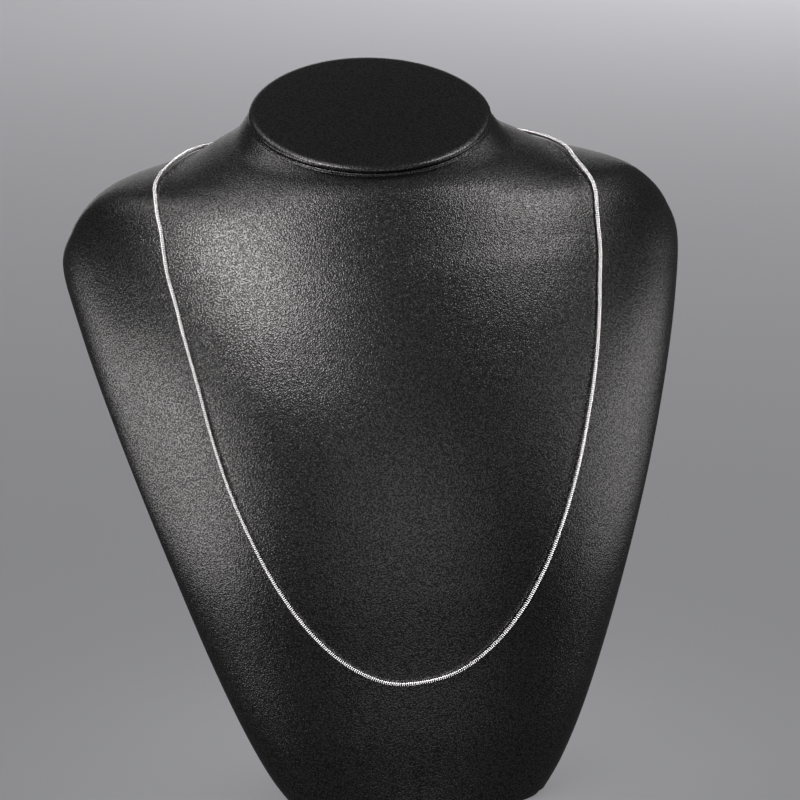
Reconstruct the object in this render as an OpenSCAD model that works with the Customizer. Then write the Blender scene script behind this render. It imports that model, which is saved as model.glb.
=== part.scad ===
// Round snake chain laid round a black neck bust, standing on the bust's foot.
// The origin is the middle of the foot, the bust faces -Y and +Z is up.

/* [Bust] */
// Width of the foot
foot_w = 82; // [74:1:94]
// Depth of the foot, front to back
foot_d = 88; // [80:1:102]
// How far the sides' widest line stands ahead of the foot's middle, at the foot
foot_line = 27.5; // [20:0.5:34]
// Width across the shoulders
shoulder_w = 212; // [196:1:230]
// Height of the shoulders' widest line
shoulder_h = 173.5; // [162:0.5:186]
// How far the chest stands ahead of the neck's middle, at the shoulders
shoulder_front = 56; // [50:1:62]
// How far the back stands behind the neck's middle, at the shoulders
shoulder_back = 28.5; // [24:0.5:33]
// Radius of the edge round the foot
foot_edge = 2; // [1:0.5:4]

/* [Neck] */
// Width of the neck's top
neck_w = 82.5; // [76:0.5:90]
// Depth of the neck's top, along its slope
neck_d = 71.5; // [66:0.5:78]
// Height of the middle of the neck's top
neck_h = 218.8; // [213:0.1:227]
// How far the neck's middle stands behind the foot's middle
neck_set = 45; // [40:1:50]
// Forward slope of the neck's top, in degrees
neck_tilt = 24; // [17:1:29]
// Radius of the edge round the neck's top
neck_edge = 0.8; // [0.4:0.1:1.5]

/* [Cap] */
// Thickness of the cap at its edge
cap_t = 2.1; // [1.7:0.1:3.5]
// Width of the soft round along the cap's upper edge
cap_edge = 2.8; // [1.5:0.1:4]
// Radius of the cap's lower edge, beside the seam
cap_seam = 0.7; // [0.4:0.1:1]
// Rise of the cap's top in the middle
cap_dome = 1.2; // [0.4:0.1:2.5]
// Gap between the neck and the cap
cap_gap = 0.3; // [0.2:0.05:0.5]

/* [Chain] */
// Length of the closed chain, clasp included
chain_len = 610; // [570:1:640]
// Diameter of the chain
chain_d = 1.5; // [1:0.1:2]
// Gap between the chain or its clasp and the bust
chain_gap = 0.3; // [0.25:0.05:0.5]

/* [Clasp] */
// Length of the clasp
clasp_len = 12; // [10:0.5:16]
// Diameter of the clasp's barrel
clasp_d = 3.6; // [3.2:0.1:5]
// Diameter of the collars at the clasp's ends
collar_d = 2.8; // [2.6:0.1:3.2]
// Length of each collar
collar_len = 2.4; // [1.5:0.1:3.5]
// How far the chain reaches into the clasp at each end
socket = 1.6; // [1:0.1:2.4]
// Clearance round the chain inside the clasp
socket_gap = 0.12; // [0.1:0.01:0.2]

/* [Hidden] */
$fn = 48;

// Points round each section of the bust, and rings for each row of its tables
around = 64;
ring_steps = 3;
// Rings over the top of the cap
dome_rings = 5;
// Sides of the chain's tube
tube_sides = 8;

// The torso from the foot to the shoulders. Every column is a share of the way from the
// foot's size to the shoulders' size: height, width, side line, chest and back.
// The last two columns say how full the front and the back are, 2 being an ellipse.
TORSO = [
    //height  width  line   chest  back   front  rear
    [0,      0,     0,     0,     0,     1.9,   2.0],
    [0.062,  0.12,  0.035, 0,     0.03,  1.8,   2.0],
    [0.158,  0.25,  0.08,  0,     0.07,  1.7,   2.0],
    [0.288,  0.395, 0.16,  0.03,  0.13,  1.6,   2.0],
    [0.446,  0.55,  0.26,  0.07,  0.23,  1.5,   2.0],
    [0.605,  0.70,  0.41,  0.18,  0.40,  1.35,  2.0],
    [0.763,  0.84,  0.62,  0.40,  0.63,  1.44,  2.1],
    [0.893,  0.94,  0.82,  0.70,  0.83,  1.56,  2.2],
    [1,      1,     1,     1,     1,     1.58,  2.2]
];

// The shoulders and neck, from the widest line to the neck's top. Every column is a share
// of the way from the shoulders' size to the neck's size: height, width, reach to the
// front, reach to the back and forward slope. The last two are as above.
NECK = [
    //height width  front  back   slope  front  rear
    [0.254,  0.056, 0.305, 1,     0.1,   1.51,  2.2],
    [0.432,  0.143, 0.498, 1.16,  0.213, 1.52,  2.1],
    [0.561,  0.276, 0.63,  1.31,  0.308, 1.59,  2],
    [0.656,  0.528, 0.763, 1.36,  0.329, 1.89,  2],
    [0.716,  0.675, 0.827, 1.36,  0.382, 2.12,  2],
    [0.78,   0.786, 0.871, 1.36,  0.489, 2.26,  2],
    [0.813,  0.846, 0.933, 1.33,  0.526, 2.29,  2],
    [0.871,  0.925, 0.985, 1.24,  0.65,  2.3,   2],
    [1,      1,     1,     1,     1,     2,     1.85]
];

// Where the chain lies, as chosen points on the bust. The first column is the share of the
// way down from the shoulder to the lowest point, or from the shoulder to the nape. The
// second goes round the bust: 0 is the middle of the front, 1 the side and 2 the nape.
// The third says how far both sides lie over to -X, as the chain hangs a little aside.
CHAIN_FRONT = [
    //down    round  aside
    [1,       0,     0.05],
    [0.991,   0.122, 0.029],
    [0.962,   0.233, 0.023],
    [0.918,   0.326, 0.019],
    [0.867,   0.388, 0.017],
    [0.811,   0.427, 0.015],
    [0.754,   0.45,  0.013],
    [0.695,   0.46,  0.01],
    [0.629,   0.464, 0.006],
    [0.553,   0.467, 0.007],
    [0.48,    0.469, 0.009],
    [0.379,   0.493, 0.011],
    [0.249,   0.546, 0.013],
    [0.125,   0.654, 0.024],
    [0.029,   0.916, 0.073]
];
CHAIN_BACK = [
    //up      round  aside
    [0,       1.05,  0.054],
    [-0.31,   1.25,  -0.001],
    [0.03,    1.5,   -0.047],
    [0.36,    1.75,  -0.018],
    [1,       2,     0]
];
// Rows of the bust at which the chain crosses the shoulder and the nape. Rows count from
// 0 at the foot through both tables.
cross_row = 12.38;
nape_row = 11.79;
// Points of the chain's line for each chosen point of its route
chain_steps = 2;
// The chain leaves the skin this far before the clasp, and enters the clasp straight
chain_leave = 3;
chain_lead = 0.8;

function mix(a, b, share) = a + (b - a) * share;

// A row holds height, half width, the side line's Y, reach to front and back, slope and
// the fullness of front and back
function torso_row(r) =
    let (line = mix(-foot_line, neck_set, r[2]))
    [
        mix(0, shoulder_h, r[0]),
        mix(foot_w, shoulder_w, r[1]) / 2,
        line,
        line - mix(-foot_d / 2, neck_set - shoulder_front, r[3]),
        mix(foot_d / 2, neck_set + shoulder_back, r[4]) - line,
        0,
        r[5],
        r[6]
    ];

function neck_row(r) = [
    mix(shoulder_h, neck_h, r[0]),
    mix(shoulder_w, neck_w, r[1]) / 2,
    neck_set,
    mix(shoulder_front, neck_d / 2, r[2]),
    mix(shoulder_back, neck_d / 2, r[3]),
    neck_tilt * r[4],
    r[5],
    r[6]
];

ROWS = concat([for (r = TORSO) torso_row(r)], [for (r = NECK) neck_row(r)]);
top_row = len(ROWS) - 1;

// A smooth curve through the entries of p, at the place u counted in entries
function smooth(p, u) =
    let (
        i = min(max(floor(u), 0), len(p) - 2),
        f = u - i,
        a = p[max(i - 1, 0)],
        b = p[i],
        c = p[i + 1],
        d = p[min(i + 2, len(p) - 1)]
    )
    b + f * (c - a) / 2 + f * f * (a - 2.5 * b + 2 * c - d / 2) + f * f * f * (3 * (b - c) + d - a) / 2;

// The point of a section at the place t round it, drawn in by the length inset
function section(r, t, inset = 0) =
    let (
        front = abs(t) <= 1,
        side = sin(90 * (front ? t : sign(t) * (2 - abs(t)))),
        rest = max(0, 1 - side * side),
        reach = front ? -(r[3] - inset) * pow(rest, 1 / r[6]) : (r[4] - inset) * pow(rest, 1 / r[7])
    )
    [(r[1] - inset) * side, r[2] + reach * cos(r[5]), r[0] + reach * sin(r[5])];

function skin(u, t) = section(smooth(ROWS, u), t);

function unit(v) = v / norm(v);

// The direction straight out of the bust's skin
function outward(u, t) =
    let (
        step = 0.02,
        along = skin(min(u + step, top_row), t) - skin(u - step, t),
        round = skin(u, t + step) - skin(u, t - step)
    )
    unit(cross(round, along));

function lifted(u, t, height) = skin(u, t) + height * outward(u, t);

// Places round a section, from the nape over the left side and the front back to the nape
PLACES = [for (k = [0 : around - 1]) -2 + 4 * (k + 0.5) / around];

// A closed solid through rings of points, each end closed to its own middle point
module loft(rings) {
    n = len(rings[0]);
    last = len(rings) - 1;
    points = concat([for (ring = rings) each ring], [middle(rings[0]), middle(rings[last])]);
    sides = [
        for (i = [0 : last - 1])
            for (k = [0 : n - 1])
                let (a = i * n + k, b = i * n + (k + 1) % n)
                each [[a, a + n, b + n], [a, b + n, b]]
    ];
    first_end = [for (k = [0 : n - 1]) [(last + 1) * n, k, (k + 1) % n]];
    last_end = [for (k = [0 : n - 1]) [(last + 1) * n + 1, last * n + (k + 1) % n, last * n + k]];
    polyhedron(points, concat(first_end, sides, last_end), convexity = 6);
}

function total(list, i = 0) = i == len(list) - 1 ? list[i] : list[i] + total(list, i + 1);

function middle(ring) = total(ring) / len(ring);

function raised(r, height) = [
    r[0] + height * cos(r[5]), r[1], r[2] - height * sin(r[5]), r[3], r[4], r[5], r[6], r[7]
];

// A ring of the section r, lifted by the length up and drawn in by the length inset
function ring(r, up = 0, inset = 0) =
    let (at = raised(r, up))
    [for (t = PLACES) section(at, t, inset)];

module bust_form() {
    foot = ROWS[0];
    top = ROWS[top_row];
    foot_rings = [
        for (angle = [0 : 30 : 90]) ring(foot, foot_edge * (1 - cos(angle)), foot_edge * (1 - sin(angle)))
    ];
    body = [
        for (k = [0 : top_row * ring_steps])
            let (r = smooth(ROWS, k / ring_steps))
            if (r[0] > foot_edge) ring(r)
    ];
    top_rings = [
        for (angle = [30 : 30 : 90]) ring(top, neck_edge * sin(angle), neck_edge * (1 - cos(angle)))
    ];
    color([0.09, 0.09, 0.1])
        loft(concat(foot_rings, body, top_rings));
}

// The cap lies on the neck's top with a narrow seam round it
module neck_cap() {
    seat = raised(ROWS[top_row], neck_edge + cap_gap);
    lower = [
        for (angle = [0 : 45 : 90]) ring(seat, cap_seam * (1 - cos(angle)), cap_seam * (1 - sin(angle)))
    ];
    round_h = cap_t - cap_seam;
    upper = [
        for (angle = [15 : 15 : 75])
            ring(seat, cap_seam + round_h * sin(angle), cap_edge * (1 - cos(angle)))
    ];
    // The dome goes on where the round has come down to the dome's own slope
    start = 78;
    dome = [
        for (k = [0 : dome_rings])
            let (
                share = k / (dome_rings + 1),
                rise = cap_dome * (1 - pow(1 - share, 2)),
                at = raised(seat, cap_seam + round_h * sin(start) + rise),
                centre = section(at, 0, neck_d / 2)
            )
            [for (t = PLACES) mix(section(at, t, cap_edge * (1 - cos(start))), centre, share)]
    ];
    color([0.08, 0.08, 0.09])
        loft(concat(lower, upper, dome));
}

// One chosen point of the route, on the side +1 or -1, between two rows of the bust
function place_at(p, side, from_row, to_row) = [mix(from_row, to_row, p[0]), side * p[1] - p[2]];

// The route on one side, from the lowest point to the nape. One more point past each end,
// from the other side, lets the two sides meet without a corner.
function route(side, low_row) = concat(
    [place_at(CHAIN_FRONT[1], -side, cross_row, low_row)],
    [for (p = CHAIN_FRONT) place_at(p, side, cross_row, low_row)],
    [for (p = CHAIN_BACK) place_at(p, side, cross_row, nape_row)],
    [for (p = [CHAIN_BACK[len(CHAIN_BACK) - 2]])
        place_at([p[0], 4 - p[1], p[2]], side, cross_row, nape_row)]
);

chain_lift = chain_gap + chain_d / 2;

// Points along one side of the chain, from the lowest point to the nape
function side_line(side, low_row) =
    let (places = route(side, low_row), spans = len(places) - 3)
    [
        for (k = [0 : spans * chain_steps])
            let (place = smooth(places, 1 + k / chain_steps))
            lifted(place[0], place[1], chain_lift)
    ];

function line_length(line) = total([for (k = [1 : len(line) - 1]) norm(line[k] - line[k - 1])]);

// Halves the range of rows until the closed chain has its length
function find_low(low, high, tries = 14) =
    let (row = (low + high) / 2)
    tries == 0 ? row
    : line_length(side_line(1, row)) + line_length(side_line(-1, row)) > chain_len
        ? find_low(row, high, tries - 1)
    : find_low(low, row, tries - 1);

low_row = find_low(0.5, 8);

// The clasp lies across the nape
clasp_mid = lifted(nape_row, 2, chain_gap + clasp_d / 2);

function on_clasp(x) = [x, clasp_mid[1], clasp_mid[2]];

// One side of the chain. Near the clasp it leaves the skin and runs straight into the bore.
function chain_side(side) = concat(
    [
        for (p = side_line(side, low_row))
            if (side * p[0] > clasp_len / 2 + chain_leave || p[1] < clasp_mid[1] / 2) p
    ],
    [on_clasp(side * (clasp_len / 2 + chain_lead)), on_clasp(side * (clasp_len / 2 - socket))]
);

function backwards(line) = [for (k = [len(line) - 1 : -1 : 1]) line[k]];

// A round tube of the given radius along a line of points
function tube_rings(line, radius, sides) = [
    for (k = [0 : len(line) - 1])
        let (
            along = unit(line[min(k + 1, len(line) - 1)] - line[max(k - 1, 0)]),
            out = unit(cross(along, [0, 0, 1] - along[2] * along)),
            up = cross(out, along)
        )
        [
            for (s = [0 : sides - 1])
                let (angle = 360 * s / sides)
                line[k] + radius * (cos(angle) * out + sin(angle) * up)
        ]
];

module snake_chain() {
    color([0.78, 0.78, 0.8])
        loft(tube_rings(concat(backwards(chain_side(-1)), chain_side(1)), chain_d / 2, tube_sides));
}

module clasp() {
    bore_r = chain_d / 2 + socket_gap;
    barrel = clasp_len / 2 - collar_len;
    shoulder = (clasp_d - collar_d) / 2;
    color([0.78, 0.78, 0.8])
        translate(clasp_mid)
            rotate([0, 90, 0])
                rotate_extrude()
                    polygon([
                        [0, -clasp_len / 2 + socket],
                        [bore_r, -clasp_len / 2 + socket],
                        [bore_r, -clasp_len / 2],
                        [collar_d / 2, -clasp_len / 2],
                        [collar_d / 2, -barrel],
                        [clasp_d / 2, -barrel + shoulder],
                        [clasp_d / 2, barrel - shoulder],
                        [collar_d / 2, barrel],
                        [collar_d / 2, clasp_len / 2],
                        [bore_r, clasp_len / 2],
                        [bore_r, clasp_len / 2 - socket],
                        [0, clasp_len / 2 - socket]
                    ]);
}

bust_form();
neck_cap();
snake_chain();
clasp();
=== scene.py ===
"""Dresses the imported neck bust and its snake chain, and sets a plain studio round them."""

import math

import bpy
import numpy as np
from bpy.props import FloatProperty, FloatVectorProperty, PointerProperty
from mathutils import Matrix, Vector


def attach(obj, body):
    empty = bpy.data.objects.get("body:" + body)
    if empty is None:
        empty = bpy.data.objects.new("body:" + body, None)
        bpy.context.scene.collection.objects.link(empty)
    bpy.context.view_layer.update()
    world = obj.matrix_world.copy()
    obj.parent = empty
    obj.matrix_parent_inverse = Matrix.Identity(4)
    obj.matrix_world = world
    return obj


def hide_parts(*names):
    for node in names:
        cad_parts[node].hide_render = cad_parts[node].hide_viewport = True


bl_info = {
    "name": "Snake Chain on a Neck Bust",
    "version": (1, 0, 0),
    "blender": (4, 5, 0),
    "location": "3D View > Sidebar > Snake Chain",
    "description": "Leatherette neck bust, its cap, a round snake chain, the clasp and a plain studio",
    "category": "Add Mesh",
}

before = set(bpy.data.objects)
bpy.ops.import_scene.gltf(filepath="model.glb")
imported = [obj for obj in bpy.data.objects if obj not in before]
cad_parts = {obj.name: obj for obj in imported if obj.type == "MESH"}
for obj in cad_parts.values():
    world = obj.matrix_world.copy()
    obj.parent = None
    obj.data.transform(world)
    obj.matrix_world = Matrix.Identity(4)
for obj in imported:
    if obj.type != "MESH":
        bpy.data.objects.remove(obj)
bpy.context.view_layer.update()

# The torso from the foot to the shoulders, as shares of the way between their sizes,
# and the fullness of front and back, 2 being an ellipse
TORSO = [
    # height  width  line   chest  back   front  rear
    (0, 0, 0, 0, 0, 1.9, 2.0),
    (0.062, 0.12, 0.035, 0, 0.03, 1.8, 2.0),
    (0.158, 0.25, 0.08, 0, 0.07, 1.7, 2.0),
    (0.288, 0.395, 0.16, 0.03, 0.13, 1.6, 2.0),
    (0.446, 0.55, 0.26, 0.07, 0.23, 1.5, 2.0),
    (0.605, 0.70, 0.41, 0.18, 0.40, 1.35, 2.0),
    (0.763, 0.84, 0.62, 0.40, 0.63, 1.44, 2.1),
    (0.893, 0.94, 0.82, 0.70, 0.83, 1.56, 2.2),
    (1, 1, 1, 1, 1, 1.58, 2.2),
]

# The shoulders and neck, as shares of the way from the widest line to the neck's top
NECK = [
    # height  width  front  back  slope  front  rear
    (0.254, 0.056, 0.305, 1, 0.1, 1.51, 2.2),
    (0.432, 0.143, 0.498, 1.16, 0.213, 1.52, 2.1),
    (0.561, 0.276, 0.63, 1.31, 0.308, 1.59, 2),
    (0.656, 0.528, 0.763, 1.36, 0.329, 1.89, 2),
    (0.716, 0.675, 0.827, 1.36, 0.382, 2.12, 2),
    (0.78, 0.786, 0.871, 1.36, 0.489, 2.26, 2),
    (0.813, 0.846, 0.933, 1.33, 0.526, 2.29, 2),
    (0.871, 0.925, 0.985, 1.24, 0.65, 2.3, 2),
    (1, 1, 1, 1, 1, 2, 1.85),
]

# Where the chain lies: the share of the way down the front, the place round the bust
# (0 the middle of the front, 1 the side, 2 the nape), and how far it hangs aside
CHAIN_FRONT = [
    (1, 0, 0.05),
    (0.991, 0.122, 0.029),
    (0.962, 0.233, 0.023),
    (0.918, 0.326, 0.019),
    (0.867, 0.388, 0.017),
    (0.811, 0.427, 0.015),
    (0.754, 0.45, 0.013),
    (0.695, 0.46, 0.01),
    (0.629, 0.464, 0.006),
    (0.553, 0.467, 0.007),
    (0.48, 0.469, 0.009),
    (0.379, 0.493, 0.011),
    (0.249, 0.546, 0.013),
    (0.125, 0.654, 0.024),
    (0.029, 0.916, 0.073),
]
# The same over the shoulder, as shares of the way from the row where the chain crosses it
# to the row of the nape
CHAIN_BACK = [
    (0, 1.05, 0.054),
    (-0.31, 1.25, -0.001),
    (0.03, 1.5, -0.047),
    (0.36, 1.75, -0.018),
    (1, 2, 0),
]
CROSS_ROW = 12.38
NAPE_ROW = 11.79

# The rows between which the chain's lowest point is sought, and how often they are halved
LOWEST_ROWS = (0.5, 8.0)
HALVINGS = 14
# Steps between two chosen places of the chain, while its length is sought and when it is laid
COARSE_STEPS = 2
FINE_STEPS = 16

# Shares of the way in at which rings close a flat end
INNER = (0.3, 0.55, 0.75, 0.9)


def size(name, text, value):
    """A length that a user can change, in metres."""
    return FloatProperty(name=name, description=text, default=value, min=0.0, precision=5, unit="LENGTH")


def amount(name, text, value, low=0.0, high=1.0):
    """A plain number that a user can change."""
    return FloatProperty(name=name, description=text, default=value, min=low, max=high)


def colour(name, text, value):
    """A colour that a user can change."""
    return FloatVectorProperty(
        name=name, description=text, default=value, size=3, min=0.0, max=1.0, subtype="COLOR"
    )


class BustProperties(bpy.types.PropertyGroup):
    """Sizes and leatherette of the neck bust"""

    foot_width: size("Foot width", "Width of the foot", 0.082)
    foot_depth: size("Foot depth", "Depth of the foot, front to back", 0.088)
    foot_line: size("Foot line", "How far the sides' widest line stands ahead of the foot's middle", 0.0275)
    foot_edge: size("Foot edge", "Radius of the edge round the foot", 0.002)
    shoulder_width: size("Shoulder width", "Width across the shoulders", 0.212)
    shoulder_height: size("Shoulder height", "Height of the shoulders' widest line", 0.1735)
    shoulder_front: size("Chest reach", "How far the chest stands ahead of the neck's middle", 0.056)
    shoulder_back: size("Back reach", "How far the back stands behind the neck's middle", 0.0285)
    neck_width: size("Neck width", "Width of the neck's top", 0.0825)
    neck_depth: size("Neck depth", "Depth of the neck's top, along its slope", 0.0715)
    neck_height: size("Neck height", "Height of the middle of the neck's top", 0.2188)
    neck_set: size("Neck set-back", "How far the neck stands behind the foot's middle", 0.045)
    neck_tilt: FloatProperty(
        name="Neck slope",
        description="Forward slope of the neck's top",
        default=math.radians(24),
        subtype="ANGLE",
    )
    neck_edge: size("Neck edge", "Radius of the edge round the neck's top", 0.0008)
    leather: colour("Leatherette", "Colour of the leatherette", (0.0050, 0.0049, 0.0052))
    grain: size("Grain", "Width of one pebble of the grain", 0.00062)
    grain_depth: size("Grain depth", "Depth of the creases between the pebbles", 0.00007)
    gloss: amount("Roughness", "Roughness of the pebbles' tops", 0.24)
    ior: amount("Index of refraction", "Index of refraction of the glossy coat", 2.0, 1.0, 3.0)
    # Painted shade: how far the creases' shine is dimmed against the pebbles' tops
    contrast: amount("Grain contrast", "How much less the creases shine than the tops", 0.27, 0.0, 0.5)


class CapProperties(bpy.types.PropertyGroup):
    """Sizes of the cap on the neck"""

    thickness: size("Thickness", "Thickness of the cap at its edge", 0.0021)
    edge: size("Upper edge", "Width of the soft round along the cap's upper edge", 0.0028)
    seam: size("Seam edge", "Radius of the cap's lower edge, beside the seam", 0.0007)
    dome: size("Rise", "Rise of the cap's top in the middle", 0.0012)
    gap: size("Gap", "Gap between the neck and the cap", 0.0003)


class ChainProperties(bpy.types.PropertyGroup):
    """Sizes and metal of the snake chain and its clasp"""

    length: size("Length", "Length of the closed chain, clasp included", 0.61)
    diameter: size("Diameter", "Diameter of the chain", 0.0015)
    pitch: size("Ring pitch", "Distance from one ring of the chain to the next", 0.00068)
    lift: size("Lift", "Gap between the chain or its clasp and the bust", 0.0003)
    clasp_length: size("Clasp length", "Length of the clasp", 0.012)
    clasp_diameter: size("Clasp diameter", "Diameter of the clasp's barrel", 0.0036)
    collar_diameter: size("Collar diameter", "Diameter of the collars at the clasp's ends", 0.0028)
    collar_length: size("Collar length", "Length of each collar", 0.0024)
    socket: size("Socket", "How far the chain reaches into the clasp", 0.0016)
    socket_gap: size("Socket gap", "Gap between the chain and the wall of its socket", 0.00012)
    silver: colour("Silver", "Colour of the polished metal", (0.95, 0.94, 0.94))
    # Painted shade: the dark colour given to the metal deep between the rings and on their inner ridge
    shade: colour("Groove shade", "Colour of the metal deep between the rings", (0.10, 0.10, 0.105))
    polish: amount("Roughness", "Roughness of the polished metal", 0.2)


class StudioProperties(bpy.types.PropertyGroup):
    """Floor and light of the studio"""

    floor: colour("Floor", "Colour of the floor", (0.60, 0.60, 0.61))
    ambient: amount("Ambient light", "Strength of the even light from all round", 0.07, 0.0, 4.0)
    lamp_power: amount("Lamps", "Strength of the soft lamps round the bust and on the silver", 1.0, 0.0, 10.0)
    floor_power: amount("Floor lamps", "Strength of the soft lamps over the floor", 1.0, 0.0, 10.0)


def mix(a, b, share):
    """What lies a share of the way from a to b."""
    return a + (b - a) * share


def smooth(points, u):
    """A smooth curve through the rows of points, at the places u counted in rows."""
    points = np.asarray(points, float)
    u = np.asarray(u, float)
    i = np.clip(np.floor(u), 0, len(points) - 2).astype(int)
    f = (u - i)[..., None]
    a, b = points[np.maximum(i - 1, 0)], points[i]
    c, d = points[i + 1], points[np.minimum(i + 2, len(points) - 1)]
    return b + f * (c - a) / 2 + f**2 * (a - 2.5 * b + 2 * c - d / 2) + f**3 * (3 * (b - c) + d - a) / 2


class Skin:
    """The bust's surface: u counts rows from the foot up, t goes round it."""

    def __init__(self, p):
        rows = []
        chest = p.neck_set - p.shoulder_front
        back = p.neck_set + p.shoulder_back
        for height, width, line, front, rear, fullness, back_fullness in TORSO:
            y = mix(-p.foot_line, p.neck_set, line)
            rows.append([
                p.shoulder_height * height,
                mix(p.foot_width, p.shoulder_width, width) / 2,
                y,
                y - mix(-p.foot_depth / 2, chest, front),
                mix(p.foot_depth / 2, back, rear) - y,
                0,
                fullness,
                back_fullness,
            ])
        for height, width, front, rear, slope, fullness, back_fullness in NECK:
            rows.append([
                mix(p.shoulder_height, p.neck_height, height),
                mix(p.shoulder_width, p.neck_width, width) / 2,
                p.neck_set,
                mix(p.shoulder_front, p.neck_depth / 2, front),
                mix(p.shoulder_back, p.neck_depth / 2, rear),
                p.neck_tilt * slope,
                fullness,
                back_fullness,
            ])
        self.rows = np.array(rows)
        self.top = len(rows) - 1

    @staticmethod
    def section(row, t, up=0.0, inset=0.0):
        """Points of one section, lifted by up along the neck's axis and drawn in by inset."""
        columns = np.moveaxis(np.asarray(row), -1, 0)
        z, width, y, front_reach, back_reach, slope, fullness, back_fullness = columns
        front = np.abs(t) <= 1
        side = np.sin(np.pi / 2 * np.where(front, t, np.sign(t) * (2 - np.abs(t))))
        rest = np.maximum(0, 1 - side**2)
        reach = np.where(
            front,
            -(front_reach - inset) * rest ** (1 / fullness),
            (back_reach - inset) * rest ** (1 / back_fullness),
        )
        y = y - up * np.sin(slope)
        z = z + up * np.cos(slope)
        return np.stack([(width - inset) * side, y + reach * np.cos(slope), z + reach * np.sin(slope)], -1)

    def at(self, u, t):
        """Points on the skin."""
        u, t = np.broadcast_arrays(np.asarray(u, float), np.asarray(t, float))
        return self.section(smooth(self.rows, u), t)

    def outward(self, u, t, step=0.02):
        """The ways straight out of the skin, found from points a small step to each side."""
        along = self.at(np.minimum(u + step, self.top), t) - self.at(u - step, t)
        across = self.at(u, t + step) - self.at(u, t - step)
        return unit(np.cross(across, along))

    def lifted(self, u, t, height):
        """Points at some height over the skin."""
        return self.at(u, t) + height * self.outward(u, t)


def unit(v):
    """Ways of length 1."""
    return v / np.linalg.norm(v, axis=-1, keepdims=True)


def places(count):
    """Places round a section, from the nape over the left side and the front back to it."""
    return -2 + 4 * (np.arange(count) + 0.5) / count


def quarter_turn(steps):
    """The angles of a quarter turn in equal steps, both ends with them."""
    return np.radians(90 * np.arange(steps + 1) / steps)


def clear(name):
    """Takes away an earlier piece of that name, so that an operator can run again."""
    old = bpy.data.objects.get(name)
    if old:
        bpy.data.objects.remove(old)


def add_mesh(name, points, faces, material, sharp=None):
    """A new piece from points and faces, smooth but for the faces that are marked as sharp."""
    clear(name)
    mesh = bpy.data.meshes.new(name)
    mesh.from_pydata(np.asarray(points).tolist(), [], faces)
    flags = np.ones(len(faces), bool) if sharp is None else ~sharp
    mesh.polygons.foreach_set("use_smooth", flags)
    mesh.materials.append(material)
    mesh.update()
    piece = bpy.data.objects.new(name, mesh)
    bpy.context.scene.collection.objects.link(piece)
    return piece


def loft(rings):
    """Points and faces of a closed skin through rings, each end closed to its middle."""
    rings = np.asarray(rings)
    count, n = rings.shape[:2]
    points = np.concatenate([rings.reshape(-1, 3), [rings[0].mean(0)], [rings[-1].mean(0)]])
    faces = []
    for i in range(count - 1):
        for k in range(n):
            a, b = i * n + k, i * n + (k + 1) % n
            faces.append((a, b, b + n, a + n))
    first, last = count * n, (count - 1) * n
    faces += [(first, (k + 1) % n, k) for k in range(n)]
    faces += [(first + 1, last + k, last + (k + 1) % n) for k in range(n)]
    return points, faces


def shrunk(ring, shares):
    """Rings between a ring and its middle, which close an end without long thin faces."""
    middle = ring.mean(0)
    return [mix(ring, middle, share) for share in shares]


def nodes_of(name):
    """A fresh material of that name, its node tree and its surface shader."""
    material = bpy.data.materials.get(name) or bpy.data.materials.new(name)
    material.use_nodes = True
    tree = material.node_tree
    tree.nodes.clear()
    output = tree.nodes.new("ShaderNodeOutputMaterial")
    shader = tree.nodes.new("ShaderNodeBsdfPrincipled")
    tree.links.new(shader.outputs["BSDF"], output.inputs["Surface"])
    return material, tree, shader


def add_node(tree, kind, inputs=None, **settings):
    """A new node; inputs that are sockets are linked and others are set as values."""
    node = tree.nodes.new("ShaderNode" + kind)
    for key, value in settings.items():
        setattr(node, key, value)
    for key, value in (inputs or {}).items():
        if isinstance(value, bpy.types.NodeSocket):
            tree.links.new(value, node.inputs[key])
        else:
            node.inputs[key].default_value = value
    return node


def blend_colours(tree, share, first, second):
    """The colour between two colours at the given share."""
    node = add_node(tree, "Mix", data_type="RGBA")
    tree.links.new(share, node.inputs["Factor"])
    node.inputs["A"].default_value = (*first, 1)
    node.inputs["B"].default_value = (*second, 1)
    return node.outputs["Result"]


def noise(tree, place, scale, detail):
    """Cloudy values from 0 to 1, scale giving how many clouds there are to a metre."""
    inputs = {"Vector": place, "Scale": scale, "Detail": detail}
    return add_node(tree, "TexNoise", inputs).outputs["Fac"]


def times_plus(tree, value, factor, rest):
    """The value times the factor, plus the rest."""
    return add_node(tree, "Math", {0: value, 1: factor, 2: rest}, operation="MULTIPLY_ADD").outputs[0]


def stretched(tree, value, low, high):
    """A value from 0 to 1, stretched to run from low to high."""
    return add_node(tree, "MapRange", {"Value": value, "To Min": low, "To Max": high}).outputs["Result"]


def tinted(shade, share):
    """A colour made darker or lighter, up to white."""
    return tuple(min(1.0, share * c) for c in shade)


# The leatherette's grain: how far a pebble falls off round its middle, how many ripples there
# are to a pebble and cloudy patches to a metre, and the patches' share of the tone
PEBBLE_FALL = -0.8
RIPPLES = 1.5
PATCHES = 9.0
PATCH_SHARE = 0.2
# From creases to pebbles' tops: where the tops begin, the tints of both as shares of the leather's
# colour (the darker creases are painted shade), how much rougher the creases are, and the shine midway
TOP_LEVEL = 0.5
CREASE_SHADE_TINT = 0.5
TOP_TINT = 1.3
CREASE_ROUGHER = 0.06
MIDDLE_SHINE = 0.5


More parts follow.
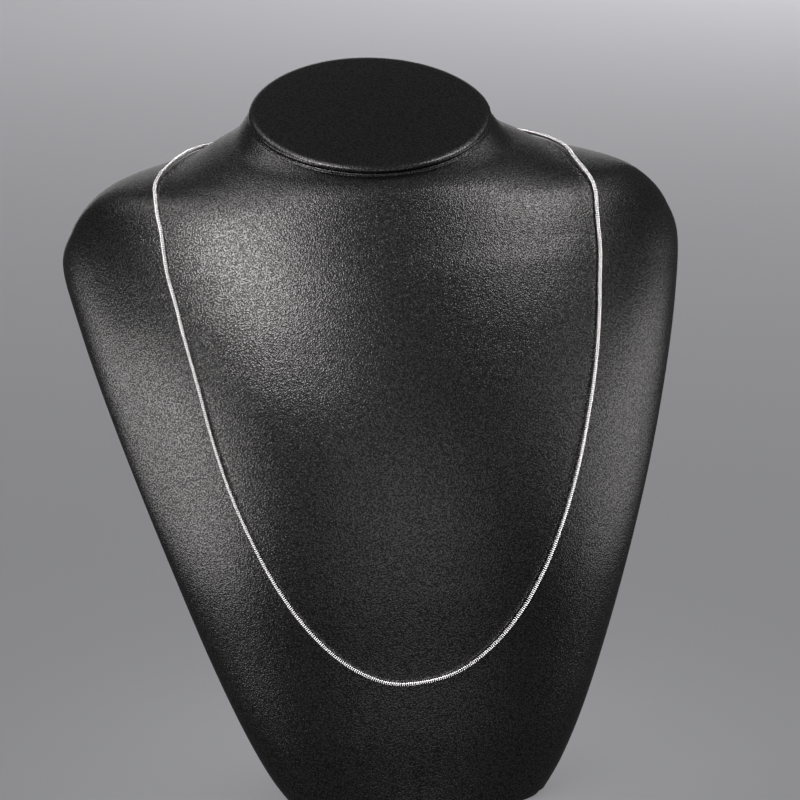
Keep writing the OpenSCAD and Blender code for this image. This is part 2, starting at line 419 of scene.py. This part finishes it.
def leatherette(name, p, grain_share=1.0, depth_share=1.0):
    """Pebbled leatherette: rounded pebbles with fine creases that are duller, and painted shade that makes
    the creases darker and less shiny.
    """
    material, tree, shader = nodes_of(name)
    place = add_node(tree, "TexCoord").outputs["Object"]
    scale = 1 / (p.grain * grain_share)
    pebbles = add_node(tree, "TexVoronoi", {"Vector": place, "Scale": scale}, feature="F1")
    ripples = noise(tree, place, RIPPLES * scale, detail=0.0)
    height = times_plus(tree, pebbles.outputs["Distance"], PEBBLE_FALL, ripples)
    patches = noise(tree, place, PATCHES, detail=3.0)
    uneven = times_plus(tree, patches, PATCH_SHARE, height)
    levels = {"Value": uneven, "From Min": 0.0, "From Max": TOP_LEVEL}
    tone = add_node(tree, "MapRange", levels).outputs["Result"]
    # Painted shade: the creases get a darker tint than the pebbles' tops
    creases, tops = tinted(p.leather, CREASE_SHADE_TINT), tinted(p.leather, TOP_TINT)
    tree.links.new(blend_colours(tree, tone, creases, tops), shader.inputs["Base Color"])
    rough = stretched(tree, tone, min(1.0, p.gloss + CREASE_ROUGHER), p.gloss)
    tree.links.new(rough, shader.inputs["Roughness"])
    # Painted shade: the creases shine less than the tops
    shine = stretched(tree, tone, MIDDLE_SHINE - p.contrast, MIDDLE_SHINE + p.contrast)
    tree.links.new(shine, shader.inputs["Specular IOR Level"])
    shader.inputs["IOR"].default_value = p.ior
    depth = p.grain_depth * depth_share
    bump = add_node(tree, "Bump", {"Strength": 1.0, "Distance": depth, "Height": height})
    tree.links.new(bump.outputs["Normal"], shader.inputs["Normal"])
    return material


# Hairlines to a metre of silver, and how far they turn its roughness up and down
HAIRLINES = 900.0
HAIRLINE_SHARE = 0.25


def polished_silver(name, p):
    """Polished silver, with painted shade darkening the metal where the mesh's groove value is high."""
    material, tree, shader = nodes_of(name)
    groove = add_node(tree, "Attribute", attribute_name="groove").outputs["Fac"]
    place = add_node(tree, "TexCoord").outputs["Object"]
    hairlines = noise(tree, place, HAIRLINES, detail=2.0)
    # Painted shade: the metal blends to the dark shade colour as the groove value rises
    tree.links.new(blend_colours(tree, groove, p.silver, p.shade), shader.inputs["Base Color"])
    smoother, rougher = (1 - HAIRLINE_SHARE) * p.polish, (1 + HAIRLINE_SHARE) * p.polish
    tree.links.new(stretched(tree, hairlines, smoother, rougher), shader.inputs["Roughness"])
    shader.inputs["Metallic"].default_value = 1.0
    return material


# The floor's faint clouds: how many to a metre and how far they turn its tone up and down
FLOOR_CLOUDS = 1.3
FLOOR_SPREAD = 0.02
FLOOR_ROUGHNESS = 0.9
FLOOR_SHINE = 0.2


def floor_paint(name, p):
    """Plain pale floor with a barely uneven tone."""
    material, tree, shader = nodes_of(name)
    place = add_node(tree, "TexCoord").outputs["Object"]
    clouds = noise(tree, place, FLOOR_CLOUDS, detail=2.0)
    darker, paler = tinted(p.floor, 1 - FLOOR_SPREAD), tinted(p.floor, 1 + FLOOR_SPREAD)
    tree.links.new(blend_colours(tree, clouds, darker, paler), shader.inputs["Base Color"])
    shader.inputs["Roughness"].default_value = FLOOR_ROUGHNESS
    shader.inputs["Specular IOR Level"].default_value = FLOOR_SHINE
    return material


class SNAKECHAIN_OT_bust(bpy.types.Operator):
    """Builds the leatherette bust over its plain form"""

    bl_idname = "snake_chain.bust"
    bl_label = "Neck bust"

    # Points round a section, sections to a row of the tables above, and steps of the rounds
    AROUND = 288
    STEPS = 14
    FOOT_ROUND = 8
    NECK_ROUND = 6

    def execute(self, context):
        p = context.scene.neck_bust
        skin = Skin(p)
        t = places(self.AROUND)
        foot, top = skin.rows[0], skin.rows[-1]
        rings = []
        for angle in quarter_turn(self.FOOT_ROUND):
            up, inset = p.foot_edge * (1 - math.cos(angle)), p.foot_edge * (1 - math.sin(angle))
            rings.append(skin.section(foot, t, up, inset))
        for u in np.arange(skin.top * self.STEPS + 1) / self.STEPS:
            row = smooth(skin.rows, u)
            if row[0] > p.foot_edge:
                rings.append(skin.section(row, t))
        for angle in quarter_turn(self.NECK_ROUND)[1:]:
            up, inset = p.neck_edge * math.sin(angle), p.neck_edge * (1 - math.cos(angle))
            rings.append(skin.section(top, t, up, inset))
        rings = shrunk(rings[0], INNER[::-1]) + rings + shrunk(rings[-1], INNER)
        points, faces = loft(rings)
        piece = add_mesh("bust_leather", points, faces, leatherette("black_leatherette", p))
        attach(piece, "root")
        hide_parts("bust_form")
        return {"FINISHED"}


class SNAKECHAIN_OT_cap(bpy.types.Operator):
    """Builds the covered cap on the neck's slanted top"""

    bl_idname = "snake_chain.cap"
    bl_label = "Neck cap"

    # Points round a section, steps of the rounds, rings of the dome, and the grain's width and
    # depth as shares of the bust's
    AROUND = 288
    SEAM_ROUND = 6
    EDGE_ROUND = 15
    DOME_RINGS = 22
    GRAIN_SHARE = 1.1
    DEPTH_SHARE = 0.35

    def execute(self, context):
        bust, cap = context.scene.neck_bust, context.scene.neck_cap
        t = places(self.AROUND)
        top = Skin(bust).rows[-1]
        seat = bust.neck_edge + cap.gap
        rings = []
        for angle in quarter_turn(self.SEAM_ROUND):
            up, inset = seat + cap.seam * (1 - math.cos(angle)), cap.seam * (1 - math.sin(angle))
            rings.append(Skin.section(top, t, up, inset))
        height = cap.thickness - cap.seam
        # The round stops two steps short, where it has come down to the dome's own slope
        for angle in quarter_turn(self.EDGE_ROUND)[1:-2]:
            up, inset = seat + cap.seam + height * math.sin(angle), cap.edge * (1 - math.cos(angle))
            rings.append(Skin.section(top, t, up, inset))
        for share in np.linspace(0, 1, self.DOME_RINGS + 2)[1:-1]:
            outer = Skin.section(top, t, up + cap.dome * (1 - (1 - share) ** 2), inset)
            rings.append(mix(outer, outer.mean(0), share))
        points, faces = loft(shrunk(rings[0], INNER[::-1]) + rings)
        material = leatherette("cap_leatherette", bust, self.GRAIN_SHARE, self.DEPTH_SHARE)
        piece = add_mesh("cap_leather", points, faces, material)
        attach(piece, "root")
        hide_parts("neck_cap")
        return {"FINISHED"}


def place_at(row, side, from_row, to_row):
    """A chosen place on one side, as its row on the skin and its place round it."""
    share, round_place, aside = row
    return [mix(from_row, to_row, share), side * round_place - aside]


def route(side, low_row):
    """Chosen places of one side of the chain, from the lowest point to the nape.

    The first and the last only give the curve its way there, and mirror their neighbours.
    """
    share, round_place, aside = CHAIN_BACK[-2]
    return (
        [place_at(CHAIN_FRONT[1], -side, CROSS_ROW, low_row)]
        + [place_at(row, side, CROSS_ROW, low_row) for row in CHAIN_FRONT]
        + [place_at(row, side, CROSS_ROW, NAPE_ROW) for row in CHAIN_BACK]
        + [place_at((share, 4 - round_place, aside), side, CROSS_ROW, NAPE_ROW)]
    )


def side_line(skin, side, low_row, height, steps):
    """Points along one side of the chain, lifted off the skin."""
    chosen = route(side, low_row)
    spans = len(chosen) - 3
    found = smooth(chosen, 1 + np.arange(spans * steps + 1) / steps)
    return skin.lifted(found[:, 0], found[:, 1], height)


def span_lengths(line):
    """The lengths from each point of a line to the next."""
    return np.linalg.norm(np.diff(line, axis=0), axis=1)


def lowest_row(skin, length, height):
    """The row of the lowest point, halved in until the closed chain has its length."""
    low, high = LOWEST_ROWS
    for _ in range(HALVINGS):
        row = (low + high) / 2
        sides = [side_line(skin, side, row, height, COARSE_STEPS) for side in (1, -1)]
        too_long = sum(span_lengths(line).sum() for line in sides) > length
        low, high = (row, high) if too_long else (low, row)
    return (low + high) / 2


def clasp_middle(skin, p):
    """The middle of the clasp, which lies on the nape."""
    return skin.lifted(np.array(NAPE_ROW), np.array(2.0), p.lift + p.clasp_diameter / 2)


def bridge(start, start_way, end, end_way, count=24):
    """A smooth curve from one point and direction to another."""
    f = np.linspace(0, 1, count)[1:, None]
    reach = np.linalg.norm(end - start)
    return (
        (2 * f**3 - 3 * f**2 + 1) * start
        + (f**3 - 2 * f**2 + f) * reach * start_way
        + (3 * f**2 - 2 * f**3) * end
        + (f**3 - f**2) * reach * end_way
    )


def chain_line(skin, p, leave=0.003, lead=0.0008):
    """The chain's middle line, from the clasp down one side and up the other.

    It leaves the skin at the distance leave from the clasp, and runs straight over the
    last stretch, lead, to the clasp.
    """
    height = p.lift + p.diameter / 2
    row = lowest_row(skin, p.length, height)
    middle = clasp_middle(skin, p)
    sides = []
    for side in (-1, 1):
        line = side_line(skin, side, row, height, FINE_STEPS)
        clear_of_clasp = side * line[:, 0] > p.clasp_length / 2 + leave
        in_front = line[:, 1] < middle[1] / 2
        laid = line[clear_of_clasp | in_front]
        mouth = middle + [side * (p.clasp_length / 2 + lead) - middle[0], 0, 0]
        inner = middle + [side * (p.clasp_length / 2 - p.socket) - middle[0], 0, 0]
        way = unit(laid[-1] - laid[-2])
        over = bridge(laid[-1], way, mouth, np.array([-side, 0, 0]))
        sides.append(np.concatenate([laid, over, [inner]]))
    return np.concatenate([sides[0][:0:-1], sides[1]])


class SNAKECHAIN_OT_chain(bpy.types.Operator):
    """Builds the snake chain from nested zigzag rings along its line"""

    bl_idname = "snake_chain.chain"
    bl_label = "Snake chain"

    # Facets round a ring, and points to a facet
    FACETS = 8
    STEPS = 3
    # A ring's half width and its swing to and fro, as shares of the pitch, and the share by
    # which it is narrower at a corner between two facets
    HALF_WIDTH = 0.47
    SWING = 0.13
    CORNER_CUT = 0.22
    # A ring's reach at its facets and what a corner adds, as shares of the chain's radius
    FACET_REACH = 0.955
    CORNER_REACH = 0.035
    # The edges and the crown between them, as shares of that reach, and the inner ridge as
    # a share of the chain's radius
    EDGE = 0.87
    CROWN = 1.01
    RIDGE = 0.52
    # How much painted shade darkens the metal on the four lines of a ring: edge, crown, edge and inner ridge
    GROOVE_SHADE = (0.6, 0.0, 0.6, 1.0)
    # How far the rings lean by chance, and what starts the draws
    LEAN = 0.012
    SEED = 5
    # Rows and places of the skin in which the nearest one is sought, how far they stay from
    # its ends, and how many rings share their ways off the bust
    SKIN_GRID = (240, 321)
    SKIN_END = 0.2
    SHARED = 15

    def execute(self, context):
        p = context.scene.snake_chain
        frames = self.ring_frames(Skin(context.scene.neck_bust), p)
        points = self.ring_points(p, *frames)
        count, around, lines = points.shape[:3]
        index = np.arange(count * around * lines).reshape(count, around, lines)
        after = np.roll(index, -1, 1)
        corners = [index, after, np.roll(after, -1, 2), np.roll(index, -1, 2)]
        faces = np.stack(corners, -1).reshape(-1, 4)
        sharp = np.tile([False, False, True, True], count * around)
        material = polished_silver("polished_silver", p)
        piece = add_mesh("snake_chain_rings", points.reshape(-1, 3), faces.tolist(), material, sharp)
        # The groove value sets the painted shade on each ring's edges and inner ridge
        groove = piece.data.attributes.new("groove", "FLOAT", "POINT")
        groove.data.foreach_set("value", np.tile(self.GROOVE_SHADE, count * around))
        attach(piece, "root")
        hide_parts("snake_chain")
        return {"FINISHED"}

    def ring_frames(self, skin, p):
        """The middle of each ring, and its ways along the chain, off the bust and across."""
        line = chain_line(skin, p)
        walked = np.concatenate([[0], np.cumsum(span_lengths(line))])
        count = int(walked[-1] / p.pitch)
        stops = (np.arange(count) + 0.5) * walked[-1] / count

        def spot(stop):
            return np.stack([np.interp(stop, walked, line[:, k]) for k in range(3)], -1)

        middle = spot(stops)
        along = unit(spot(stops + p.pitch) - spot(stops - p.pitch))
        away = self.off_the_bust(skin, middle)
        away = unit(away - (away * along).sum(1)[:, None] * along)
        across = np.cross(along, away)
        lean = np.random.default_rng(self.SEED).normal(0, self.LEAN, (count, 2))
        along = unit(along + lean[:, :1] * away + lean[:, 1:] * across)
        return middle, along, away, across

    def ring_points(self, p, middle, along, away, across):
        """Points of every ring, on four lines round it: edge, crown, edge and inner ridge."""
        step = np.arange(self.FACETS * self.STEPS)
        angle = 2 * np.pi * step / len(step)
        half_facet = self.STEPS / 2
        to_corner = np.abs((step + half_facet) % self.STEPS - half_facet) / half_facet
        corner = 1 - to_corner
        zigzag = 1 - 4 * np.abs(step / (2 * self.STEPS) % 1 - 0.5)
        radius = p.diameter / 2
        half = self.HALF_WIDTH * p.pitch * (1 - self.CORNER_CUT * corner)
        swing = self.SWING * p.pitch * zigzag
        reach = radius * (self.FACET_REACH + self.CORNER_REACH * corner)
        edge, crown, ridge = self.EDGE * reach, self.CROWN * reach, self.RIDGE * radius
        lines = [(-half, edge), (0, crown), (half, edge), (0, ridge)]
        points = np.empty((len(middle), len(step), len(lines), 3))
        for k, (shift, far) in enumerate(lines):
            points[:, :, k] = (
                middle[:, None]
                + (shift + swing)[None, :, None] * along[:, None]
                + (far * np.cos(angle))[None, :, None] * away[:, None]
                + (far * np.sin(angle))[None, :, None] * across[:, None]
            )
        return points

    def off_the_bust(self, skin, middle):
        """The way from the bust's skin to each point of the chain's line."""
        rows, round_places = self.SKIN_GRID
        u, t = np.meshgrid(
            np.linspace(self.SKIN_END, skin.top - self.SKIN_END, rows),
            np.linspace(-2, 2, round_places),
            indexing="ij",
        )
        near = skin.at(u, t).reshape(-1, 3)
        out = skin.outward(u, t).reshape(-1, 3)
        found = np.array([out[((near - point) ** 2).sum(1).argmin()] for point in middle])
        weights = np.ones(self.SHARED) / self.SHARED
        spare = self.SHARED // 2
        padded = np.concatenate([found[:1].repeat(spare, 0), found, found[-1:].repeat(spare, 0)])
        return unit(np.stack([np.convolve(padded[:, k], weights, "valid") for k in range(3)], -1))


class SNAKECHAIN_OT_clasp(bpy.types.Operator):
    """Builds the barrel clasp across the nape"""

    bl_idname = "snake_chain.clasp"
    bl_label = "Clasp"

    # Points round the clasp, and steps of the rounds at the barrel's ends
    AROUND = 72
    ROUND = 5
    # Width of the small turned edges, and the angle from which an edge stays crisp
    LIP = 0.00025
    CRISP = math.radians(30)

    def execute(self, context):
        p = context.scene.snake_chain
        middle = clasp_middle(Skin(context.scene.neck_bust), p)
        half = self.half_outline(p)
        outline = half + [(-x, y) for x, y in half[-2::-1]]
        angle = 2 * np.pi * np.arange(self.AROUND) / self.AROUND
        rings = [
            np.stack([np.full(self.AROUND, x), y * np.sin(angle), y * np.cos(angle)], -1) + middle
            for x, y in outline
        ]
        points, faces = loft(rings)
        piece = add_mesh("barrel_clasp", points, faces, polished_silver("clasp_silver", p))
        piece.data.set_sharp_from_angle(angle=self.CRISP)
        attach(piece, "root")
        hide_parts("clasp")
        return {"FINISHED"}

    def half_outline(self, p):
        """Places along and off the axis, from the socket's floor to the middle of the barrel."""
        end = p.clasp_length / 2
        barrel = end - p.collar_length
        r, collar = p.clasp_diameter / 2, p.collar_diameter / 2
        bore = p.diameter / 2 + p.socket_gap
        lip, rise = self.LIP, r - collar
        socket = [(end - p.socket, bore), (end - lip, bore), (end, bore + lip)]
        rim = [(end, collar - lip), (end - lip, collar), (end - 3 * lip, collar)]
        groove = [(end - 4 * lip, collar - lip), (end - 5 * lip, collar - lip), (end - 6 * lip, collar)]
        shoulder = [(barrel + lip, collar)]
        for angle in quarter_turn(self.ROUND):
            shoulder.append((barrel - rise * (1 - math.cos(angle)), collar + rise * math.sin(angle)))
        middle_line = [(2 * lip, r), (lip, r), (lip / 2, r - lip / 2), (0.0, r - lip / 2)]
        return socket + rim + groove + shoulder + middle_line


# Where the view stands: what it looks at, how far off, its angles, the width that it shows
# there and the width of the sensor in millimetres
VIEW_TARGET = Vector((-0.0006, -0.0138, 0.134))
VIEW_DISTANCE = 1.176
VIEW_AZIMUTH = math.radians(-8)
VIEW_ELEVATION = math.radians(13)
VIEW_ROLL = math.radians(1.6)
VIEW_WIDTH = 0.2628
SENSOR = 36.0

# Soft lamps round the bust, which leave the floor alone: azimuth and elevation in
# degrees, distance, width and height in metres, watts and colour
BUST_LAMPS = {
    "lamp_upper_left": (-45, 52, 1.3, 0.50, 0.45, 3.0, (1.0, 0.965, 0.96)),
    "lamp_fore_left": (-33, 43, 1.3, 0.45, 0.40, 2.1, (1.0, 0.965, 0.96)),
    "lamp_high_left": (-55, 72, 1.3, 0.40, 0.40, 0.8, (1.0, 0.965, 0.96)),
    "lamp_upper_right": (69, 50, 1.3, 0.60, 0.45, 2.8, (1.0, 0.965, 0.96)),
    "lamp_over_left": (-108, 65, 1.3, 0.70, 0.50, 1.3, (1.0, 0.965, 0.96)),
    "lamp_over_right": (106, 56, 1.3, 0.60, 0.50, 0.5, (1.0, 0.965, 0.96)),
    "lamp_left": (-80, -4, 0.8, 0.90, 0.34, 1.7, (1.0, 0.965, 0.96)),
    "lamp_low_left": (-62, 10, 0.9, 0.40, 0.30, 0.7, (1.0, 0.965, 0.96)),
    "lamp_right": (88, -4, 0.8, 0.60, 0.32, 0.7, (1.0, 0.965, 0.97)),
    "lamp_low_right": (60, 15, 0.9, 0.50, 0.30, 0.2, (1.0, 0.965, 0.97)),
    "lamp_front": (5, 2, 1.7, 1.40, 0.80, 1.5, (0.97, 0.97, 1.0)),
    "lamp_high_front": (0, 31, 1.7, 1.20, 0.45, 0.4, (0.97, 0.97, 1.0)),
    "lamp_back": (180, 12, 1.5, 1.20, 1.00, 2.0, (0.98, 0.97, 0.98)),
}
SILVER_PIECES = ("snake_chain_rings", "barrel_clasp")
# Soft lamps that reach the silver alone, given as the lamps above are
SILVER_LAMPS = {
    "lamp_silver_left": (-95, 25, 1.3, 0.80, 0.90, 24.0, (1.0, 0.97, 0.97)),
    "lamp_silver_right": (95, 25, 1.3, 0.80, 0.90, 24.0, (1.0, 0.97, 0.97)),
    "lamp_silver_high": (0, 75, 1.3, 1.60, 0.50, 18.0, (1.0, 0.98, 0.98)),
    "lamp_silver_low": (0, -40, 1.3, 1.20, 0.40, 9.0, (1.0, 0.98, 0.98)),
    "lamp_silver_fore": (0, 10, 1.5, 1.60, 0.90, 7.0, (1.0, 0.98, 0.98)),
}
# Soft lamps over the floor alone: place, width and depth in metres, watts and colour
FLOOR_LAMPS = {
    "wash_all": ((0.0, 0.2, 2.6), 4.0, 4.0, 30, (0.965, 0.965, 1.0)),
    "wash_far_right": ((1.7, 2.7, 1.3), 2.4, 1.4, 38, (0.975, 0.97, 1.0)),
    "wash_far_left": ((-1.5, 2.7, 1.3), 2.4, 1.4, 6, (0.965, 0.97, 1.0)),
    "wash_near": ((0.0, 0.02, 0.15), 0.10, 0.10, 0.07, (0.97, 0.97, 1.0)),
}
LAMP_TARGET = Vector((0, 0.01, 0.15))


def direction(azimuth, elevation):
    """The direction in which something stands, azimuth 0 being in front of the bust."""
    return Vector((
        math.sin(azimuth) * math.cos(elevation),
        -math.cos(azimuth) * math.cos(elevation),
        math.sin(elevation),
    ))


class SNAKECHAIN_OT_studio(bpy.types.Operator):
    """Sets the floor, the lamps and the camera, and is run again after a piece is built anew"""

    bl_idname = "snake_chain.studio"
    bl_label = "Studio"

    FLOOR_REACH = 7.0
    SKY_TINT = (0.95, 0.96, 1.0, 1)

    def execute(self, context):
        p = context.scene.studio
        self.lamps(p, self.floor(p))
        self.camera(context)
        self.surroundings(context, p)
        return {"FINISHED"}

    def floor(self, p):
        """A wide floor, which the bust doesn't mirror."""
        reach = self.FLOOR_REACH
        points = [(-reach, -reach, 0), (reach, -reach, 0), (reach, reach, 0), (-reach, reach, 0)]
        floor = add_mesh("floor", points, [(0, 1, 2, 3)], floor_paint("floor_paint", p))
        # The bust mirrors the dark room rather than the pale floor, as it does in the studio
        floor.visible_glossy = False
        return floor

    def lamps(self, p, floor):
        """Hangs the soft lamps, and ties each to the pieces that it lights or leaves alone."""
        silver = [bpy.data.objects[name] for name in SILVER_PIECES if name in bpy.data.objects]
        for name, row in BUST_LAMPS.items():
            self.light_only(self.lamp_round(name, row, p), [floor, *silver], "EXCLUDE")
        # A lamp that is tied to no piece at all would light every piece
        if silver:
            for name, row in SILVER_LAMPS.items():
                self.light_only(self.lamp_round(name, row, p), silver, "INCLUDE")
        for name, (place, width, depth, watts, tint) in FLOOR_LAMPS.items():
            power = watts * p.floor_power
            lamp = self.lamp(name, Vector(place), Vector((0, 0, 1)), (width, depth), power, tint)
            lamp.data.use_shadow = False
            self.light_only(lamp, [floor], "INCLUDE")

    def lamp_round(self, name, row, p):
        """A lamp that stands round the bust and faces it."""
        azimuth, elevation, distance, width, height, watts, tint = row
        way = direction(math.radians(azimuth), math.radians(elevation))
        place = LAMP_TARGET + distance * way
        return self.lamp(name, place, way, (width, height), watts * p.lamp_power, tint)

    @staticmethod
    def lamp(name, place, way, sizes, watts, tint):
        """A soft rectangular lamp that faces away from the direction given."""
        clear(name)
        lamp = bpy.data.lights.new(name, "AREA")
        lamp.shape = "RECTANGLE"
        lamp.size, lamp.size_y = sizes
        lamp.energy = watts
        lamp.color = tint
        item = bpy.data.objects.new(name, lamp)
        item.location = place
        item.rotation_euler = way.to_track_quat("Z", "Y").to_euler()
        item.visible_camera = False
        bpy.context.scene.collection.objects.link(item)
        return item

    @staticmethod
    def light_only(lamp, pieces, state):
        """Keeps a lamp's light off some pieces or on them alone."""
        name = lamp.name + "_reach"
        old = bpy.data.collections.get(name)
        if old:
            bpy.data.collections.remove(old)
        reach = bpy.data.collections.new(name)
        for piece in pieces:
            reach.objects.link(piece)
        lamp.light_linking.receiver_collection = reach
        for linked in reach.collection_objects:
            linked.light_linking.link_state = state

    def camera(self, context):
        """Sets the camera where the view stands, rolled a little to one side."""
        clear("camera")
        data = bpy.data.cameras.new("camera")
        data.sensor_width = SENSOR
        data.lens = SENSOR * VIEW_DISTANCE / VIEW_WIDTH
        camera = bpy.data.objects.new("camera", data)
        back = direction(VIEW_AZIMUTH, VIEW_ELEVATION)
        right = Vector((math.cos(VIEW_AZIMUTH), math.sin(VIEW_AZIMUTH), 0))
        up = back.cross(right)
        turned = math.cos(VIEW_ROLL) * right - math.sin(VIEW_ROLL) * up
        upright = math.sin(VIEW_ROLL) * right + math.cos(VIEW_ROLL) * up
        place = Matrix.Identity(4)
        for k, axis in enumerate((turned, upright, back, VIEW_TARGET + VIEW_DISTANCE * back)):
            place.col[k][:3] = axis
        camera.matrix_world = place
        context.scene.collection.objects.link(camera)
        context.scene.camera = camera

    def surroundings(self, context, p):
        """A dim even light from all round."""
        world = bpy.data.worlds.get("studio") or bpy.data.worlds.new("studio")
        world.use_nodes = True
        sky = world.node_tree.nodes["Background"]
        sky.inputs["Color"].default_value = self.SKY_TINT
        sky.inputs["Strength"].default_value = p.ambient
        context.scene.world = world
        context.scene.view_settings.view_transform = "Standard"


class SNAKECHAIN_PT_panel(bpy.types.Panel):
    """Lists the pieces with their sizes and colours"""

    bl_label = "Snake Chain"
    bl_idname = "SNAKECHAIN_PT_panel"
    bl_space_type = "VIEW_3D"
    bl_region_type = "UI"
    bl_category = "Snake Chain"

    def draw(self, context):
        scene = context.scene
        for group, operators in (
            ("neck_bust", ("bust",)),
            ("neck_cap", ("cap",)),
            ("snake_chain", ("chain", "clasp")),
            ("studio", ("studio",)),
        ):
            box = self.layout.box()
            values = getattr(scene, group)
            for name in values.__annotations__:
                box.prop(values, name)
            for operator in operators:
                box.operator("snake_chain." + operator)


GROUPS = {
    "neck_bust": BustProperties,
    "neck_cap": CapProperties,
    "snake_chain": ChainProperties,
    "studio": StudioProperties,
}
OPERATORS = (
    SNAKECHAIN_OT_bust,
    SNAKECHAIN_OT_cap,
    SNAKECHAIN_OT_chain,
    SNAKECHAIN_OT_clasp,
    SNAKECHAIN_OT_studio,
)


def register():
    for cls in (*GROUPS.values(), *OPERATORS, SNAKECHAIN_PT_panel):
        bpy.utils.register_class(cls)
    for name, cls in GROUPS.items():
        setattr(bpy.types.Scene, name, PointerProperty(type=cls))


def unregister():
    for name in GROUPS:
        delattr(bpy.types.Scene, name)
    for cls in (SNAKECHAIN_PT_panel, *reversed(OPERATORS), *reversed(tuple(GROUPS.values()))):
        bpy.utils.unregister_class(cls)


def main():
    """Builds every piece, then the studio, whose lamps are tied to the pieces."""
    register()
    bpy.ops.snake_chain.bust()
    bpy.ops.snake_chain.cap()
    bpy.ops.snake_chain.chain()
    bpy.ops.snake_chain.clasp()
    bpy.ops.snake_chain.studio()


if __name__ == "__main__":
    main()
